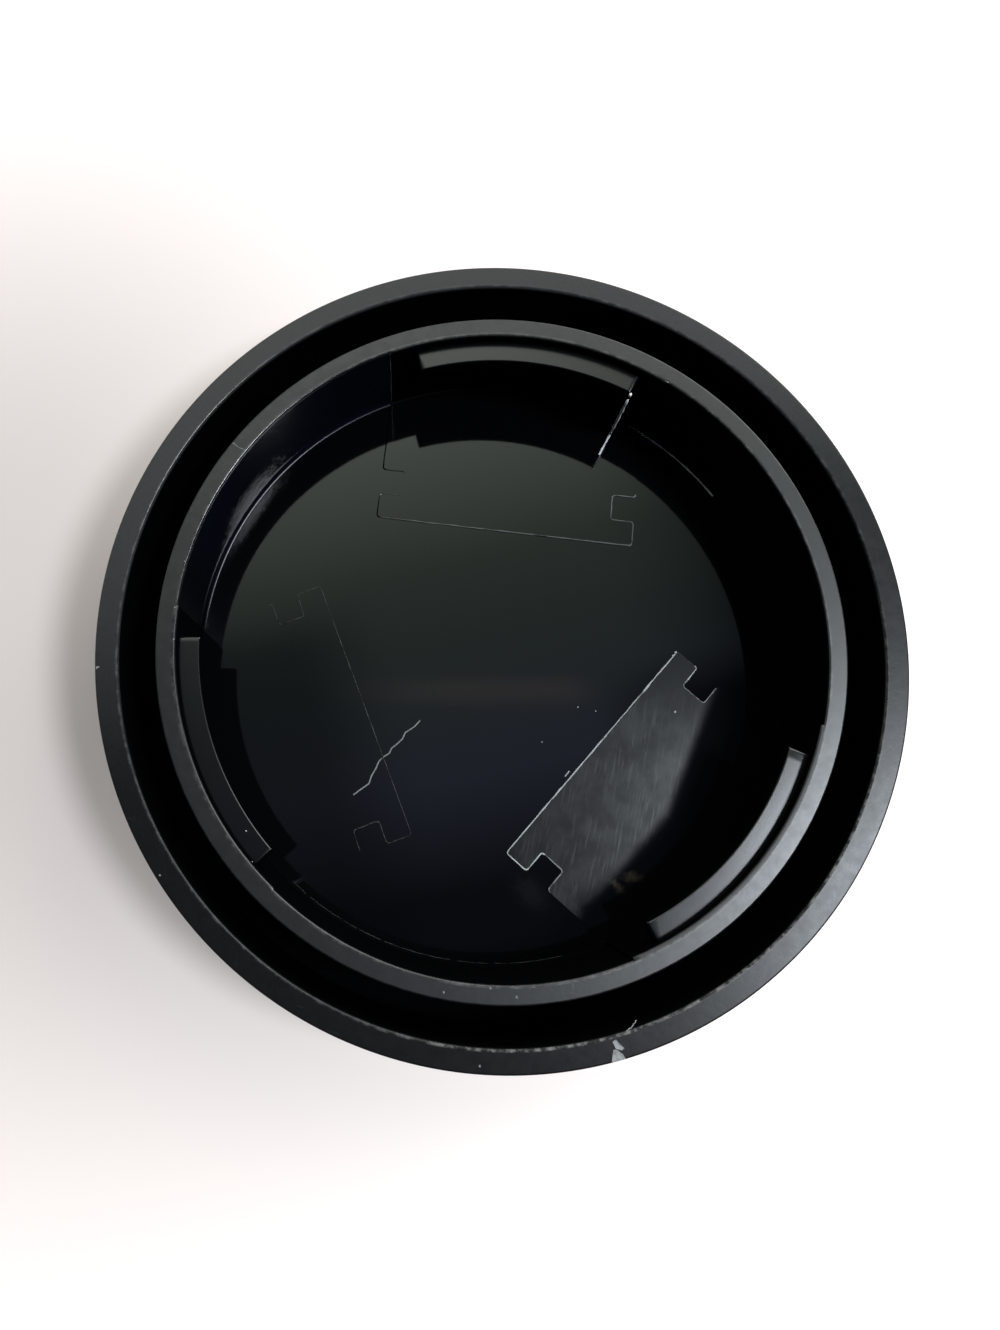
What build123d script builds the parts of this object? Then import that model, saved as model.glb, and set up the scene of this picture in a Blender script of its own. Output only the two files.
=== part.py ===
from build123d import *
import os
from math import degrees, radians, sin

# Rear lens cap, moulded in one piece of black plastic.
# It lies on its closed face with the open mouth up (+Z). The origin is the centre of the
# closed face, and all lengths are in millimetres. The middle lug points along -X, so the
# wider gap between the two other lugs faces +X.

# Walls, from the bore outwards
BORE_DIAMETER = 48.3
RING_WALL = 1.4
GROOVE_WIDTH = 2.7
SKIRT_WALL = 1.75

# Heights, from the closed face upwards
FLOOR_THICKNESS = 1.8
BORE_DEPTH = 10.8
GROOVE_FLOOR = 2.2

# Edges
BASE_CHAMFER = 1.0
RIM_ROUND = 0.15
RIM_CHAMFER = 0.2
RING_CHAMFER = 0.15
FLOOR_CHAMFER = 0.35
GROOVE_CHAMFER = 0.5

# Bayonet lugs
MIDDLE_LUG_ANGLE = 180.0
LUG_SPACING = 117.5
LUG_SPAN = 43.4
LUG_REACH = 1.75
LUG_DROP = 1.1
LUG_THICKNESS = 1.5
LUG_CHAMFER = 0.2
LUG_LEAD = 0.15

# Stop that closes the space under one lug and ends the turn of the lens
STOP_LENGTH = 1.5

# Low pads that the sliding cores leave on the floor under the lugs
PAD_MARGIN = 2.6
PAD_LENGTH = 13.05
PAD_HEAD = 2.1
PAD_NOTCH_LENGTH = 2.2
PAD_NOTCH_DEPTH = 1.95
PAD_HEIGHT = 0.06

# Grip flutes round the skirt
FLUTE_COUNT = 60
FLUTE_RADIUS = 1.0
FLUTE_DEPTH = 0.35
FLUTE_FOOT = 2.4
RIM_BAND = 3.0

# Sizes that follow from the values above
bore_radius = BORE_DIAMETER / 2
ring_radius = bore_radius + RING_WALL
groove_radius = ring_radius + GROOVE_WIDTH
outer_radius = groove_radius + SKIRT_WALL
height = FLOOR_THICKNESS + BORE_DEPTH
lug_radius = bore_radius - LUG_REACH
lug_top = height - LUG_DROP
lug_bottom = lug_top - LUG_THICKNESS
root_radius = bore_radius + RING_WALL / 2
stop_lug_angle = MIDDLE_LUG_ANGLE - LUG_SPACING
lug_angles = [stop_lug_angle, MIDDLE_LUG_ANGLE, MIDDLE_LUG_ANGLE + LUG_SPACING]


def corner(section, radius, level):
    """Vertex of a half section at a given radius and height."""
    return section.vertices().sort_by_distance((radius, level, 0))[0]


def sector(section, start_angle, span):
    """Solid swept by a half section through part of a turn about the cap's axis."""
    return Rot(0, 0, start_angle) * revolve(Plane.XZ * section, Axis.Z, span)


def turned_body():
    """Floor, bayonet ring, groove and outer skirt, turned from one half section."""
    outline = Polyline(
        (0, 0),
        (outer_radius, 0),
        (outer_radius, height),
        (groove_radius, height),
        (groove_radius, GROOVE_FLOOR),
        (ring_radius, GROOVE_FLOOR),
        (ring_radius, height),
        (bore_radius, height),
        (bore_radius, FLOOR_THICKNESS),
        (0, FLOOR_THICKNESS),
        close=True,
    )
    section = make_face(outline)
    section = chamfer(corner(section, outer_radius, 0), BASE_CHAMFER)
    section = fillet(corner(section, outer_radius, height), RIM_ROUND)
    section = chamfer(corner(section, groove_radius, height), RIM_CHAMFER)
    section = chamfer(corner(section, groove_radius, GROOVE_FLOOR), GROOVE_CHAMFER)
    section = chamfer(corner(section, ring_radius, GROOVE_FLOOR), GROOVE_CHAMFER)
    section = chamfer(corner(section, ring_radius, height), RING_CHAMFER)
    section = chamfer(corner(section, bore_radius, height), RING_CHAMFER)
    section = chamfer(corner(section, bore_radius, FLOOR_THICKNESS), FLOOR_CHAMFER)
    return revolve(Plane.XZ * section, Axis.Z, 360)


def lug(angle):
    """Inward bayonet lug, centred on an angle, rooted in the ring and eased at both ends."""
    section = make_face(Polyline(
        (lug_radius, lug_bottom),
        (root_radius, lug_bottom),
        (root_radius, lug_top),
        (lug_radius, lug_top),
        close=True,
    ))
    section = chamfer(corner(section, lug_radius, lug_top), LUG_CHAMFER)
    bar = sector(section, angle - LUG_SPAN / 2, LUG_SPAN)
    top_ends = bar.edges().filter_by(GeomType.LINE).group_by(Axis.Z)[-1]
    return chamfer(top_ends, LUG_LEAD)


def stop(angle):
    """Upright web from the floor to the clockwise end of a lug."""
    section = make_face(Polyline(
        (lug_radius, FLOOR_THICKNESS / 2),
        (root_radius, FLOOR_THICKNESS / 2),
        (root_radius, lug_bottom + LUG_THICKNESS / 2),
        (lug_radius, lug_bottom + LUG_THICKNESS / 2),
        close=True,
    ))
    return sector(section, angle - LUG_SPAN / 2, degrees(STOP_LENGTH / lug_radius))


def core_pad(angle):
    """Low pad under a lug: a bar with a notch in each side, run out into the wall."""
    half_width = lug_radius * sin(radians(LUG_SPAN / 2)) + PAD_MARGIN
    neck = half_width - PAD_NOTCH_DEPTH
    inner = bore_radius - PAD_LENGTH
    notch_start = inner + PAD_HEAD
    notch_end = notch_start + PAD_NOTCH_LENGTH
    side = [
        (inner, half_width),
        (notch_start, half_width),
        (notch_start, neck),
        (notch_end, neck),
        (notch_end, half_width),
        (root_radius, half_width),
    ]
    mirrored = [(along, -across) for along, across in reversed(side)]
    bar = extrude(make_face(Polyline(*side, *mirrored, close=True)), PAD_HEIGHT + FLOOR_THICKNESS / 2)
    inside = Cylinder(root_radius, height, align=(Align.CENTER, Align.CENTER, Align.MIN))
    return (Pos(0, 0, FLOOR_THICKNESS / 2) * Rot(0, 0, angle) * bar) & inside


def grip_flutes():
    """Upright flutes for the fingers, cut between the rim band and the foot of the skirt."""
    length = height - RIM_BAND - FLUTE_FOOT
    flute = Cylinder(FLUTE_RADIUS, length, align=(Align.CENTER, Align.CENTER, Align.MIN))
    places = PolarLocations(outer_radius + FLUTE_RADIUS - FLUTE_DEPTH, FLUTE_COUNT)
    return [Pos(0, 0, FLUTE_FOOT) * place * flute for place in places]


def lens_cap():
    """The whole moulding as one solid."""
    cap = turned_body()
    for angle in lug_angles:
        cap = cap + lug(angle) + core_pad(angle)
    cap = cap + stop(stop_lug_angle)
    cap = cap - grip_flutes()
    return cap.solid()


os.makedirs("parts", exist_ok=True)
export_step(lens_cap(), "parts/lens_cap.step")
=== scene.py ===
from math import asin, atan2, cos, pi, radians, sin, sqrt, tan, tau

import bpy
from bpy.props import FloatProperty, FloatVectorProperty, IntProperty, PointerProperty
from mathutils import Matrix, Vector
from mathutils.noise import noise


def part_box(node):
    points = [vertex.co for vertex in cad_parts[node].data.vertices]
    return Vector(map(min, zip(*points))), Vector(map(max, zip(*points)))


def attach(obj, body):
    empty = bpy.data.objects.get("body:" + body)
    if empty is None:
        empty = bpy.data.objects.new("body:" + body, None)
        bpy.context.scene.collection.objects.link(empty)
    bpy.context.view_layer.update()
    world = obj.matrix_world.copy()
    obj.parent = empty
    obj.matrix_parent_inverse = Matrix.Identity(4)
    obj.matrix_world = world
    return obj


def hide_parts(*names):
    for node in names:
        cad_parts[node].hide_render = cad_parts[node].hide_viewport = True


bl_info = {
    "name": "Rear Lens Cap",
    "version": (1, 0, 0),
    "blender": (4, 5, 0),
    "location": "View3D > Sidebar > Lens Cap",
    "description": "Models a moulded rear lens cap with its wear, and a pale table to show it on",
    "category": "Object",
}

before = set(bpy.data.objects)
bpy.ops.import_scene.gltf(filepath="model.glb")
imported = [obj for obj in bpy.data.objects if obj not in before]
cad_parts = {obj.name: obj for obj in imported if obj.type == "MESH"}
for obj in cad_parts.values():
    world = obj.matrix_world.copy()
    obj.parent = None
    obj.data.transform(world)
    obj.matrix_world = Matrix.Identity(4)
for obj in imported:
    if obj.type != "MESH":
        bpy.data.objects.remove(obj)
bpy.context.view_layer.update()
NODE = "lens_cap"

MM = 0.001
OUTER_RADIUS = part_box(NODE)[1].x
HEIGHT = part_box(NODE)[1].z
WELD = 1e-7
UP = Vector((0, 0, 1))

# Turns in a whole circle of the turned body, and how fine the small arcs are
BODY_STEPS = 288
LUG_STEPS = 40
ROUND_STEPS = 6
SMOOTH_ANGLE = radians(28)
SHARP_ANGLE = radians(25)

# Small gap that keeps faces of joined solids apart, and slack when the ends of a lug are looked for
HAIR = 0.004 * MM
END_SLACK = 1e-4

# Length over which the thickness of a bead varies, and between the points of the flash round a pad
UNEVEN_STEP = 0.9 * MM
FLASH_STEP = 0.4 * MM

# The cap's +X axis is turned this far anticlockwise from the right of the picture
PICTURE_TURN = radians(20.7)

# Middle of the smear low on the wall, as (x, y) in millimetres
SMEAR = (-14.6, 19.2)


def length(name, value, description):
    """Property for a size, given in millimetres."""
    return FloatProperty(
        name=name, description=description, default=value * MM, unit="LENGTH", precision=5)


def turn(name, value, description):
    """Property for an angle, given in degrees."""
    return FloatProperty(
        name=name, description=description, default=radians(value), subtype="ANGLE", unit="ROTATION")


def colour(name, value, description):
    """Property for a linear colour."""
    return FloatVectorProperty(
        name=name, description=description, default=value, size=3, subtype="COLOR", min=0, max=1)


class CapSizes(bpy.types.PropertyGroup):
    """Sizes of the turned body, its bayonet and its grip."""

    bore: length("Bore", 48.3, "Diameter inside the bayonet ring")
    ring_wall: length("Ring wall", 1.4, "Thickness of the bayonet ring")
    skirt_wall: length("Skirt wall", 1.75, "Thickness of the outer skirt")
    floor: length("Floor", 1.8, "Thickness of the closed face")
    groove_floor: length("Groove floor", 2.2, "Plastic left under the groove")
    base_chamfer: length("Base chamfer", 1.0, "Bevel round the closed face")
    rim_round: length("Rim round", 0.15, "Rounding of the skirt's outer edge")
    rim_edge: length("Rim edge", 0.2, "Rounding of the skirt's inner edge")
    ring_edge: length("Ring edge", 0.15, "Rounding of the ring's edges")
    floor_round: length("Floor round", 0.3, "Rounding where the wall meets the floor")
    groove_round: length("Groove round", 0.5, "Rounding at the groove's bottom")
    soft_edge: length("Soft edge", 0.05, "Slight rounding of every moulded edge")
    middle_lug: turn("Middle lug", 180.0, "Direction of the middle lug")
    lug_spacing: turn("Lug spacing", 117.5, "Angle from the middle lug to each other lug")
    lug_span: turn("Lug span", 43.4, "Angle that a lug covers")
    lug_reach: length("Lug reach", 1.75, "How far a lug stands in from the bore")
    lug_drop: length("Lug drop", 1.1, "Depth of a lug's top below the rim")
    lug_thickness: length("Lug thickness", 1.5, "Height of a lug")
    lug_chamfer: length("Lug chamfer", 0.12, "Bevel of a lug's inner edge")
    lug_lead: length("Lug lead", 0.15, "Bevel of a lug's ends")
    stop: length("Stop", 1.5, "Length of the stop along the ring")
    pad_margin: length("Pad margin", 2.6, "How far a core pad is wider than its lug, each side")
    pad_length: length("Pad length", 13.05, "Reach of a core pad from the wall")
    pad_head: length("Pad head", 2.1, "Length of a core pad's head")
    pad_notch_length: length("Notch length", 2.2, "Length of the notches in a core pad's sides")
    pad_notch_depth: length("Notch depth", 1.95, "Depth of the notches in a core pad's sides")
    pad_height: length("Pad height", 0.06, "Height of a core pad above the floor")
    pad_round: length("Pad round", 0.28, "Rounding of a core pad's corners, seen from above")
    core_slips: FloatVectorProperty(
        name="Core slips", description="How far each lug's core left the wall proud",
        default=(0.05 * MM, 0.08 * MM, 0.2 * MM), unit="LENGTH", precision=5)
    flutes: IntProperty(name="Flutes", description="Grip flutes round the skirt", default=60, min=3)
    flute_radius: length("Flute radius", 1.0, "Radius of a grip flute")
    flute_depth: length("Flute depth", 0.35, "Depth of a grip flute")
    flute_foot: length("Flute foot", 2.4, "Plain band under the flutes")
    rim_band: length("Rim band", 3.0, "Plain band above the flutes")


class CapColours(bpy.types.PropertyGroup):
    """Colours of the plastic and of its wear, and of painted light: a blue cast, highlights, a glint and a
    shadow line.
    """

    plastic: colour("Plastic", (0.0014, 0.0015, 0.0019), "Black plastic as it was moulded")
    # The blue in the deep colour is a painted blue cast of the light on the wall, not the plastic's own
    # colour
    deep: colour("Deep", (0.0032, 0.0042, 0.0090), "Black plastic of the smeared wall, slightly blue")
    rubbed: colour("Rubbed", (0.064, 0.065, 0.066), "Black plastic that is rubbed grey")
    whitened: colour("Whitened", (0.25, 0.25, 0.26), "Plastic that is chipped pale")
    scratched: colour("Scratched", (0.18, 0.19, 0.19), "Plastic that is scratched grey")
    # The flash tones are whitened flash and partly a painted highlight: each pad side got the tone of the
    # light it catches
    whitened_flash_and_highlight: colour("Bright flash", (0.31, 0.33, 0.34), "Flash that stands up and catches the light")
    dull_flash: colour("Dull flash", (0.13, 0.14, 0.14), "Low flash, rubbed grey")
    mild_flash: colour("Mild flash", (0.080, 0.081, 0.077), "Low flash, rubbed a little")
    faint_flash: colour("Faint flash", (0.036, 0.037, 0.036), "Flash that is hardly there")
    # A painted shadow: a near-black line laid where a pad's step shades itself
    painted_shadow_line: colour("Shaded flash", (0.0010, 0.0010, 0.0011), "Flash on the side away from the light")
    # A white tone: on the stop it is a painted glint with its painted reflection on the floor, and the
    # pale lines at the wall's foot use it too
    pale_line_and_glint: colour("Torn flash", (0.74, 0.76, 0.77), "Flash that is torn white")
    dust: colour("Dust", (0.30, 0.30, 0.29), "Dust specks")
    stain: colour("Stain", (0.10, 0.085, 0.050), "Yellowish smudge on the floor")
    table: colour("Table", (0.46, 0.40, 0.385), "Pale table, under its glow")


def derived(sizes):
    """Radii and heights that follow from the sizes, by name."""
    bore = sizes.bore / 2
    lug_top = HEIGHT - sizes.lug_drop
    lug_radius = bore - sizes.lug_reach
    return {
        "bore": bore,
        "ring": bore + sizes.ring_wall,
        "root": bore + sizes.ring_wall / 2,
        "groove": OUTER_RADIUS - sizes.skirt_wall,
        "lug": lug_radius,
        "lug_top": lug_top,
        "lug_bottom": lug_top - sizes.lug_thickness,
        "pad_half_width": lug_radius * sin(sizes.lug_span / 2) + sizes.pad_margin,
        "pad_top": sizes.floor + sizes.pad_height,
        "lug_angles": [
            sizes.middle_lug - sizes.lug_spacing,
            sizes.middle_lug,
            sizes.middle_lug + sizes.lug_spacing,
        ],
    }


def polar(radius, angle, height):
    """Point at a radius, angle and height about the cap's axis."""
    return Vector((radius * cos(angle), radius * sin(angle), height))


def spot(x, y, height):
    """Point at a height, with x and y in millimetres."""
    return Vector((x * MM, y * MM, height))


def arc(centre, radius, start, end):
    """Points of a round corner in the half section, as (radius, height) pairs."""
    turns = [radians(start + (end - start) * i / ROUND_STEPS) for i in range(ROUND_STEPS + 1)]
    return [(centre[0] + radius * cos(a), centre[1] + radius * sin(a)) for a in turns]


# Modelling helpers

def deselect():
    """Leaves nothing selected in object mode."""
    bpy.ops.object.select_all(action="DESELECT")


def start_line(name, point):
    """New object in edit mode that holds one vertex at a point."""
    deselect()
    bpy.ops.mesh.primitive_plane_add(size=MM)
    piece = bpy.context.object
    piece.name = piece.data.name = name
    bpy.ops.object.mode_set(mode="EDIT")
    bpy.ops.mesh.select_mode(type="VERT")
    bpy.ops.mesh.select_all(action="SELECT")
    bpy.ops.mesh.merge(type="CENTER")
    bpy.ops.transform.translate(value=point)
    return piece


def draw_line(name, points):
    """New object in edit mode that holds a line through points."""
    piece = start_line(name, points[0])
    for here, there in zip(points, points[1:]):
        bpy.ops.mesh.extrude_vertices_move(TRANSFORM_OT_translate={"value": there - here})
    bpy.ops.mesh.select_all(action="SELECT")
    return piece


def draw_face(name, points):
    """New object in edit mode that holds one flat face."""
    piece = draw_line(name, points)
    bpy.ops.mesh.edge_face_add()
    return piece


def close_skin():
    """Welds the mesh in edit mode, points its faces outwards and leaves edit mode."""
    bpy.ops.mesh.select_all(action="SELECT")
    bpy.ops.mesh.remove_doubles(threshold=WELD)
    bpy.ops.mesh.normals_make_consistent(inside=False)
    bpy.ops.object.mode_set(mode="OBJECT")


def sweep(steps, angle):
    """Spins what is selected about the cap's axis, anticlockwise from above."""
    bpy.ops.mesh.spin(steps=steps, angle=-angle, center=(0, 0, 0), axis=UP)


def make_active(piece):
    """Selects one object alone and makes it active."""
    deselect()
    piece.select_set(True)
    bpy.context.view_layer.objects.active = piece


def select_edges(piece, wanted):
    """Selects the edges whose two ends pass a test, and goes to edit mode."""
    make_active(piece)
    bpy.ops.object.mode_set(mode="EDIT")
    bpy.ops.mesh.select_mode(type="EDGE")
    bpy.ops.mesh.select_all(action="DESELECT")
    bpy.ops.object.mode_set(mode="OBJECT")
    points = piece.data.vertices
    for edge in piece.data.edges:
        edge.select = wanted(points[edge.vertices[0]].co, points[edge.vertices[1]].co)
    bpy.ops.object.mode_set(mode="EDIT")


def soften(piece, width):
    """Rounds every sharp edge slightly."""
    make_active(piece)
    bevel = piece.modifiers.new("Soft edge", "BEVEL")
    bevel.width = width
    bevel.segments = 2
    bevel.limit_method = "ANGLE"
    bevel.angle_limit = SHARP_ANGLE
    bpy.ops.object.modifier_apply(modifier=bevel.name)


def shade(piece):
    """Smooth shading that keeps broad flat faces flat."""
    make_active(piece)
    bpy.ops.object.shade_smooth_by_angle(angle=SMOOTH_ANGLE)
    weighted = piece.modifiers.new("Flat faces", "WEIGHTED_NORMAL")
    weighted.keep_sharp = True
    bpy.ops.object.modifier_apply(modifier=weighted.name)


def combine(cap, tool, operation):
    """Adds a solid to the cap or cuts it away, and removes the tool."""
    make_active(cap)
    step = cap.modifiers.new(operation, "BOOLEAN")
    step.operation = operation
    step.solver = "EXACT"
    step.object = tool
    step.material_mode = "TRANSFER"
    bpy.ops.object.modifier_apply(modifier=step.name)
    bpy.data.objects.remove(tool, do_unlink=True)


def bead(name, points, radius, wobble, seed, cuts=0, uneven=0.0):
    """Thin round bead along a line of points, as a closed mesh; its thickness may vary."""
    piece = draw_line(name, points)
    if cuts:
        bpy.ops.mesh.subdivide(number_cuts=cuts)
    bpy.ops.transform.vertex_random(offset=wobble, seed=seed)
    bpy.ops.object.mode_set(mode="OBJECT")
    make_active(piece)
    bpy.ops.object.convert(target="CURVE")
    line = piece.data
    line.bevel_depth = radius
    line.bevel_resolution = 2
    for point in line.splines[0].points:
        point.radius = 1 + uneven * noise(point.co.xyz / UNEVEN_STEP)
    line.use_fill_caps = True
    bpy.ops.object.convert(target="MESH")
    piece = bpy.context.object
    piece.data.name = name
    bpy.ops.object.mode_set(mode="EDIT")
    close_skin()
    bpy.ops.object.shade_smooth()
    return piece


def ball(x, y, z, radius, flatness=1.0):
    """Small ball, with its place and radius in millimetres."""
    deselect()
    bpy.ops.mesh.primitive_ico_sphere_add(
        subdivisions=2, radius=radius * MM, location=(x * MM, y * MM, z * MM), scale=(1, 1, flatness))
    bpy.ops.object.transform_apply()
    return bpy.context.object


def join(name, pieces):
    """One object out of several."""
    deselect()
    for piece in pieces:
        piece.select_set(True)
    bpy.context.view_layer.objects.active = pieces[0]
    bpy.ops.object.join()
    joined = bpy.context.object
    joined.name = joined.data.name = name
    return joined


# The moulding, feature by feature

def half_section(sizes):
    """Outline of the turned body from the closed face round to the floor, as (radius, height)."""
    at = derived(sizes)
    rim, edge, ring = sizes.rim_round, sizes.rim_edge, sizes.ring_edge
    deep, low = sizes.groove_round, sizes.floor_round
    return [
        (0, 0),
        (OUTER_RADIUS - sizes.base_chamfer, 0),
        (OUTER_RADIUS, sizes.base_chamfer),
        *arc((OUTER_RADIUS - rim, HEIGHT - rim), rim, 0, 90),
        *arc((at["groove"] + edge, HEIGHT - edge), edge, 90, 180),
        *arc((at["groove"] - deep, sizes.groove_floor + deep), deep, 0, -90),
        *arc((at["ring"] + deep, sizes.groove_floor + deep), deep, -90, -180),
        *arc((at["ring"] - ring, HEIGHT - ring), ring, 0, 90),
        *arc((at["bore"] + ring, HEIGHT - ring), ring, 90, 180),
        *arc((at["bore"] - low, sizes.floor + low), low, 0, -90),
        (0, sizes.floor),
    ]


def turned_body(sizes):
    """Floor, bayonet ring, groove and skirt, spun from the half section."""
    cap = draw_line("cap", [polar(radius, 0, height) for radius, height in half_section(sizes)])
    sweep(BODY_STEPS, tau)
    close_skin()
    soften(cap, sizes.soft_edge)
    return cap


def ring_sector(name, section, start, span, steps):
    """Closed solid spun from a face of the half section through part of a turn."""
    piece = draw_face(name, [polar(radius, start, height) for radius, height in section])
    sweep(steps, span)
    close_skin()
    return piece


def lug(sizes, angle):
    """Inward lug with a bevelled inner edge and eased ends."""
    at = derived(sizes)
    section = [
        (at["lug"], at["lug_bottom"]),
        (at["root"], at["lug_bottom"]),
        (at["root"], at["lug_top"]),
        (at["lug"] + sizes.lug_chamfer, at["lug_top"]),
        (at["lug"], at["lug_top"] - sizes.lug_chamfer),
    ]
    piece = ring_sector("lug", section, angle - sizes.lug_span / 2, sizes.lug_span, LUG_STEPS)
    middle = polar(1, angle, 0).xy
    shortest = (at["root"] - at["lug"]) / 2 + sizes.lug_chamfer
    end_facing = cos(sizes.lug_span / 2) + END_SLACK

    def at_an_end(one, two):
        on_top = min(one.z, two.z) > at["lug_top"] - WELD
        radial = (one - two).length > shortest
        return on_top and radial and one.xy.normalized().dot(middle) < end_facing

    select_edges(piece, at_an_end)
    bpy.ops.mesh.bevel(offset=sizes.lug_lead, segments=1, affect="EDGES")
    close_skin()
    soften(piece, sizes.soft_edge)
    return piece


def turn_stop(sizes, angle):
    """Upright web under the clockwise end of a lug."""
    at = derived(sizes)
    top = at["lug_bottom"] + sizes.lug_thickness / 2
    inner = at["lug"] + 4 * HAIR
    section = [
        (inner, sizes.floor / 2),
        (at["root"], sizes.floor / 2),
        (at["root"], top),
        (inner, top),
    ]
    start = angle - sizes.lug_span / 2 + 4 * HAIR / inner
    return ring_sector("turn_stop", section, start, sizes.stop / inner, LUG_STEPS // 6)


def slipped_wall(sizes, angle, slip):
    """Stretch of the ring's wall that a core left a little proud."""
    at = derived(sizes)
    inner = at["bore"] - slip
    ring = sizes.ring_edge
    top = HEIGHT - HAIR
    section = [
        (inner, sizes.floor / 2),
        (at["root"], sizes.floor / 2),
        (at["root"], top),
        *arc((inner + ring, top - ring), ring, 90, 180),
    ]
    half = asin(at["pad_half_width"] / at["bore"])
    piece = ring_sector("slipped_wall", section, angle - half, 2 * half, LUG_STEPS)
    soften(piece, sizes.soft_edge)
    return piece


def pad_outline(sizes):
    """Outline of a core pad as (outwards, across) pairs, from the wall round to the wall."""
    at = derived(sizes)
    wide = at["pad_half_width"]
    neck = wide - sizes.pad_notch_depth
    inner = at["bore"] - sizes.pad_length
    notch_start = inner + sizes.pad_head
    notch_end = notch_start + sizes.pad_notch_length
    wall = sqrt(at["bore"] ** 2 - wide ** 2)
    side = [
        (wall, wide),
        (notch_end, wide),
        (notch_end, neck),
        (notch_start, neck),
        (notch_start, wide),
        (inner, wide),
    ]
    return side + [(outwards, -across) for outwards, across in reversed(side)]


def pad_sides(sizes):
    """Outline of a core pad with its corners rounded, as one line of points for each side."""
    corners = [Vector(corner) for corner in pad_outline(sizes)]
    sides = []
    begin = corners[0]
    for before, here, after in zip(corners, corners[1:], corners[2:]):
        into = here + (before - here).normalized() * sizes.pad_round
        out = here + (after - here).normalized() * sizes.pad_round
        bend = [into.lerp(here, t).lerp(here.lerp(out, t), t) for t in (0.25, 0.5, 0.75)]
        pieces = max(1, round((into - begin).length / FLASH_STEP))
        straight = [begin.lerp(into, i / pieces) for i in range(pieces + 1)]
        sides.append(straight + bend + [out])
        begin = out
    sides.append([begin, corners[-1]])
    return sides


def on_pad(angle, outwards, across, height):
    """Point given by its distances along and across a lug's centre line."""
    return Matrix.Rotation(angle, 3, UP) @ Vector((outwards, across, height))


def core_pad(sizes, angle):
    """Low pad with notched sides that a sliding core left under a lug."""
    at = derived(sizes)
    outline = [point for side in pad_sides(sizes) for point in side[:-1]]
    outline.append(pad_outline(sizes)[-1])
    run_out = [(at["root"], -at["pad_half_width"]), (at["root"], at["pad_half_width"])]
    bottom = sizes.floor / 2
    piece = draw_face(
        "core_pad", [on_pad(angle, outwards, across, bottom) for outwards, across in outline + run_out])
    bpy.ops.mesh.extrude_region_move(
        TRANSFORM_OT_translate={"value": UP * (at["pad_top"] - bottom)})
    close_skin()
    return piece


def grip_flutes(sizes):
    """Upright flutes round the skirt, as one cutting tool."""
    deselect()
    tall = HEIGHT - sizes.rim_band - sizes.flute_foot
    bpy.ops.mesh.primitive_cylinder_add(vertices=32, radius=sizes.flute_radius, depth=tall)
    tool = bpy.context.object
    tool.name = "grip_flutes"
    bpy.ops.object.mode_set(mode="EDIT")
    bpy.ops.mesh.select_all(action="SELECT")
    reach = OUTER_RADIUS + sizes.flute_radius - sizes.flute_depth
    bpy.ops.transform.translate(value=(reach, 0, sizes.flute_foot + tall / 2))
    bpy.ops.mesh.spin(
        steps=sizes.flutes, angle=tau, center=(0, 0, 0), axis=UP, dupli=True, use_auto_merge=False)
    close_skin()
    return tool


# Materials

class Wiring:
    """Short calls that add and join the nodes of one tree."""

    def __init__(self, tree):
        self.tree = tree

    def add(self, kind, inputs=None, **settings):
        made = self.tree.nodes.new(kind)
        for key, value in settings.items():
            setattr(made, key, value)
        for key, value in (inputs or {}).items():
            self.feed(made.inputs[key], value)
        return made

    def feed(self, socket, value):
        if isinstance(value, bpy.types.NodeSocket):
            self.tree.links.new(value, socket)
        else:
            socket.default_value = value

    def math(self, operation, *values):
        return self.add("ShaderNodeMath", dict(enumerate(values)), operation=operation).outputs[0]

    def times(self, first, *others):
        for value in others:
            first = self.math("MULTIPLY", first, value)
        return first

    def plus(self, first, *others):
        for value in others:
            first = self.math("ADD", first, value)
        return first

    def minus(self, one, two):
        return self.math("SUBTRACT", one, two)

    def most(self, one, two):
        return self.math("MAXIMUM", one, two)

    def apart(self, one, two):
        return self.math("ABSOLUTE", self.minus(one, two))

    def vector(self, operation, *values):
        made = self.add("ShaderNodeVectorMath", dict(enumerate(values)), operation=operation)
        return made.outputs["Value" if operation in {"LENGTH", "DOT_PRODUCT"} else "Vector"]

    def scaled(self, vector, factor):
        made = self.add("ShaderNodeVectorMath", {"Vector": vector, "Scale": factor}, operation="SCALE")
        return made.outputs["Vector"]

    def ramp(self, value, low, high, start=0.0, end=1.0):
        made = self.add(
            "ShaderNodeMapRange",
            {"Value": value, "From Min": low, "From Max": high, "To Min": start, "To Max": end},
            interpolation_type="SMOOTHSTEP")
        return made.outputs["Result"]

    def noise(self, vector, scale, detail=2.0, roughness=0.5):
        made = self.add(
            "ShaderNodeTexNoise",
            {"Vector": vector, "Scale": scale, "Detail": detail, "Roughness": roughness})
        return made.outputs["Fac"]

    def mix(self, factor, one, two):
        made = self.add("ShaderNodeMix", data_type="FLOAT")
        for socket, value in zip(made.inputs[:1] + made.inputs[2:4], (factor, one, two)):
            self.feed(socket, value)
        return made.outputs[0]

    def blend(self, factor, one, two):
        made = self.add("ShaderNodeMix", data_type="RGBA")
        for socket, value in zip(made.inputs[:1] + made.inputs[6:8], (factor, one, two)):
            self.feed(socket, value)
        return made.outputs[2]

    def parts(self, vector):
        return self.add("ShaderNodeSeparateXYZ", {0: vector}).outputs

    def flat(self, vector):
        parts = self.parts(vector)
        return self.add("ShaderNodeCombineXYZ", {"X": parts["X"], "Y": parts["Y"]}).outputs[0]

    def turned(self, vector, angle):
        made = self.add(
            "ShaderNodeVectorRotate", {"Vector": vector, "Angle": angle}, rotation_type="Z_AXIS")
        return made.outputs[0]

    def group(self, name, **inputs):
        made = self.add("ShaderNodeGroup", node_tree=bpy.data.node_groups[name])
        for key, value in inputs.items():
            self.feed(made.inputs[key.capitalize()], value)
        return made.outputs[0]


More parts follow.
